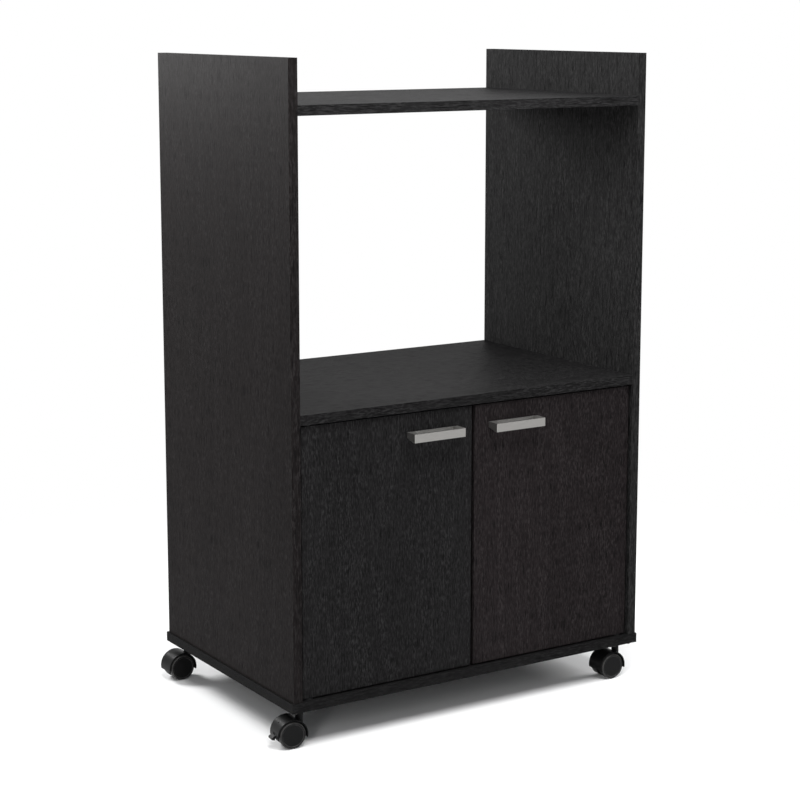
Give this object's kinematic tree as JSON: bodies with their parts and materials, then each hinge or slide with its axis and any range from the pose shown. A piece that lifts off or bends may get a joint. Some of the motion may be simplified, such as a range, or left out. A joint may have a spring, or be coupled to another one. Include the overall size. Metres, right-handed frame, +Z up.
{
  "type": "kitchen cart",
  "caption": "Black laminated kitchen cart on swivel casters: a shelf set between the side panels, an open bay below it, and a cabinet with inset doors and flat-bar handles.",
  "frame": {"origin": "on the floor, under the middle of the cart's bounding box", "axes": "+Z up, the doors face -Y, +X runs to the right as seen from the front"},
  "size_m": [0.6468, 0.4088, 0.949],
  "materials": {
    "black_laminate": "satin laminated board with a printed wood grain",
    "hardboard": "dark coated hardboard",
    "beech": "bare beech",
    "satin_nickel": "satin nickel",
    "zinc_steel": "zinc plated",
    "caster_housing": "moulded nylon, semi-gloss",
    "wheel_nylon": "moulded nylon, semi-gloss",
    "dark_plastic": "moulded, matt",
    "black_nylon": "moulded, matt",
    "black_steel": "black zinc plated"
  },
  "bodies": {
    "cabinet": {"left_side_panel": "black_laminate", "right_side_panel": "black_laminate", "base_board": "black_laminate", "middle_shelf": "black_laminate", "top_shelf": "black_laminate", "back_panel": "hardboard", "cabinet_shelf": "black_laminate", "back_nails": "zinc_steel", "cam_discs": "zinc_steel", "cam_bolts": "zinc_steel", "dowels": "beech", "base_screws": "zinc_steel", "shelf_pegs": "zinc_steel", "pivot_bushes": "black_nylon", "catch_body": "dark_plastic", "catch_pole_plates": "zinc_steel", "catch_screws": "zinc_steel", "caster_screws": "black_steel", "front_left_caster_plate": "black_steel", "front_left_caster_kingpin": "black_steel", "front_right_caster_plate": "black_steel", "front_right_caster_kingpin": "black_steel", "rear_left_caster_plate": "black_steel", "rear_left_caster_kingpin": "black_steel", "rear_right_caster_plate": "black_steel", "rear_right_caster_kingpin": "black_steel"},
    "left_door": {"left_door": "black_laminate", "left_handle": "satin_nickel", "left_handle_screws": "zinc_steel", "left_pivot_pins": "zinc_steel", "left_strike_plate": "zinc_steel", "left_strike_screw": "zinc_steel"},
    "right_door": {"right_door": "black_laminate", "right_handle": "satin_nickel", "right_handle_screws": "zinc_steel", "right_pivot_pins": "zinc_steel", "right_strike_plate": "zinc_steel", "right_strike_screw": "zinc_steel"},
    "front_left_caster": {"front_left_caster_hood": "caster_housing", "front_left_caster_axle": "zinc_steel", "front_left_brake_pin": "zinc_steel"},
    "front_left_caster_wheel_a": {"front_left_caster_wheel_a": "wheel_nylon"},
    "front_left_caster_wheel_b": {"front_left_caster_wheel_b": "wheel_nylon"},
    "front_left_brake_lever": {"front_left_brake_lever": "caster_housing"},
    "front_right_caster": {"front_right_caster_hood": "caster_housing", "front_right_caster_axle": "zinc_steel"},
    "front_right_caster_wheel_a": {"front_right_caster_wheel_a": "wheel_nylon"},
    "front_right_caster_wheel_b": {"front_right_caster_wheel_b": "wheel_nylon"},
    "rear_left_caster": {"rear_left_caster_hood": "caster_housing", "rear_left_caster_axle": "zinc_steel"},
    "rear_left_caster_wheel_a": {"rear_left_caster_wheel_a": "wheel_nylon"},
    "rear_left_caster_wheel_b": {"rear_left_caster_wheel_b": "wheel_nylon"},
    "rear_right_caster": {"rear_right_caster_hood": "caster_housing", "rear_right_caster_axle": "zinc_steel", "rear_right_brake_pin": "zinc_steel"},
    "rear_right_caster_wheel_a": {"rear_right_caster_wheel_a": "wheel_nylon"},
    "rear_right_caster_wheel_b": {"rear_right_caster_wheel_b": "wheel_nylon"},
    "rear_right_brake_lever": {"rear_right_brake_lever": "caster_housing"}
  },
  "joints": [
    {"name": "left_door_hinge", "type": "hinge", "parent": "cabinet", "child": "left_door", "pos_m": [-0.271, -0.1766, 0.0702], "axis": [0, 0, -1], "range_deg": [0, 105]},
    {"name": "right_door_hinge", "type": "hinge", "parent": "cabinet", "child": "right_door", "pos_m": [0.271, -0.1766, 0.0702], "axis": [0, 0, 1], "range_deg": [0, 105]},
    {"name": "front_left_swivel", "type": "hinge", "parent": "cabinet", "child": "front_left_caster", "pos_m": [-0.2795, -0.1661, 0.054], "axis": [0, 0, 1], "continuous": true},
    {"name": "front_left_wheel_a_axle", "type": "hinge", "parent": "front_left_caster", "child": "front_left_caster_wheel_a", "pos_m": [-0.29435, -0.16401, 0.0192], "axis": [0.1392, 0.9903, 0], "continuous": true},
    {"name": "front_left_wheel_b_axle", "type": "hinge", "parent": "front_left_caster", "child": "front_left_caster_wheel_b", "pos_m": [-0.29435, -0.16401, 0.0192], "axis": [0.1392, 0.9903, 0], "continuous": true},
    {"name": "front_left_brake", "type": "hinge", "parent": "front_left_caster", "child": "front_left_brake_lever", "pos_m": [-0.30426, -0.16262, 0.0192], "axis": [-0.1392, -0.9903, 0], "range_deg": [0, 18]},
    {"name": "front_right_swivel", "type": "hinge", "parent": "cabinet", "child": "front_right_caster", "pos_m": [0.2795, -0.1661, 0.054], "axis": [0, 0, 1], "continuous": true},
    {"name": "front_right_wheel_a_axle", "type": "hinge", "parent": "front_right_caster", "child": "front_right_caster_wheel_a", "pos_m": [0.26451, -0.16558, 0.0192], "axis": [0.0349, 0.9994, 0], "continuous": true},
    {"name": "front_right_wheel_b_axle", "type": "hinge", "parent": "front_right_caster", "child": "front_right_caster_wheel_b", "pos_m": [0.26451, -0.16558, 0.0192], "axis": [0.0349, 0.9994, 0], "continuous": true},
    {"name": "rear_left_swivel", "type": "hinge", "parent": "cabinet", "child": "rear_left_caster", "pos_m": [-0.2795, 0.1814, 0.054], "axis": [0, 0, 1], "continuous": true},
    {"name": "rear_left_wheel_a_axle", "type": "hinge", "parent": "rear_left_caster", "child": "rear_left_caster_wheel_a", "pos_m": [-0.2945, 0.1814, 0.0192], "axis": [0, 1, 0], "continuous": true},
    {"name": "rear_left_wheel_b_axle", "type": "hinge", "parent": "rear_left_caster", "child": "rear_left_caster_wheel_b", "pos_m": [-0.2945, 0.1814, 0.0192], "axis": [0, 1, 0], "continuous": true},
    {"name": "rear_right_swivel", "type": "hinge", "parent": "cabinet", "child": "rear_right_caster", "pos_m": [0.2795, 0.1814, 0.054], "axis": [0, 0, 1], "continuous": true},
    {"name": "rear_right_wheel_a_axle", "type": "hinge", "parent": "rear_right_caster", "child": "rear_right_caster_wheel_a", "pos_m": [0.29435, 0.17931, 0.0192], "axis": [-0.1392, -0.9903, 0], "continuous": true},
    {"name": "rear_right_wheel_b_axle", "type": "hinge", "parent": "rear_right_caster", "child": "rear_right_caster_wheel_b", "pos_m": [0.29435, 0.17931, 0.0192], "axis": [-0.1392, -0.9903, 0], "continuous": true},
    {"name": "rear_right_brake", "type": "hinge", "parent": "rear_right_caster", "child": "rear_right_brake_lever", "pos_m": [0.30426, 0.17792, 0.0192], "axis": [0.1392, 0.9903, 0], "range_deg": [0, 18]}
  ]
}
